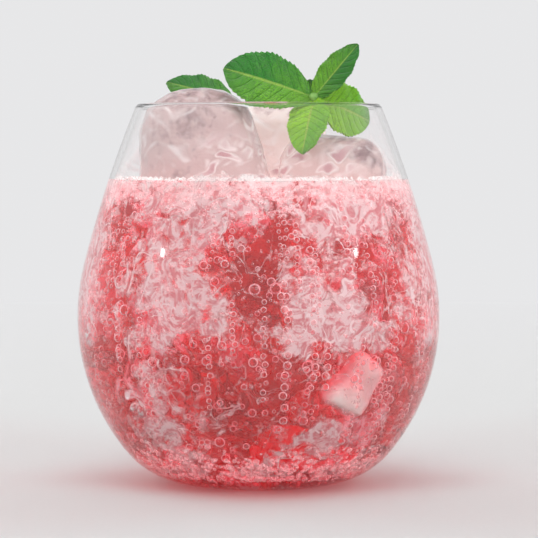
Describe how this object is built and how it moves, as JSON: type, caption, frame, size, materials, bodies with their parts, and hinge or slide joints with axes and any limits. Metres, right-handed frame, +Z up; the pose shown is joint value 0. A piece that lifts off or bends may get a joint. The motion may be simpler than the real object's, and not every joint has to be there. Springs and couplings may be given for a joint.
{
  "type": "vodka tonic in a stemless glass",
  "caption": "Rounded stemless glass of fizzy pink-red drink, with lumps of ice standing out of the surface and fresh mint on top.",
  "frame": {"origin": "middle of the foot, on the plane that the glass stands on", "axes": "+Z up along the glass's axis, -Y towards the front, +X to the right seen from the front"},
  "size_m": [0.106, 0.106, 0.1275],
  "materials": {
    "clear_glass": "clear, polished",
    "pink_drink": "clear pink-red liquid, full of bubbles",
    "ice": "cloudy, wet, melted smooth",
    "mint": "satin green leaf with yellow-green veins"
  },
  "bodies": {
    "root": {"glass": "clear_glass", "drink": "pink_drink", "ice_left": "ice", "ice_back": "ice", "ice_right": "ice", "mint_sprig": "mint", "mint_leaf": "mint"}
  },
  "joints": []
}
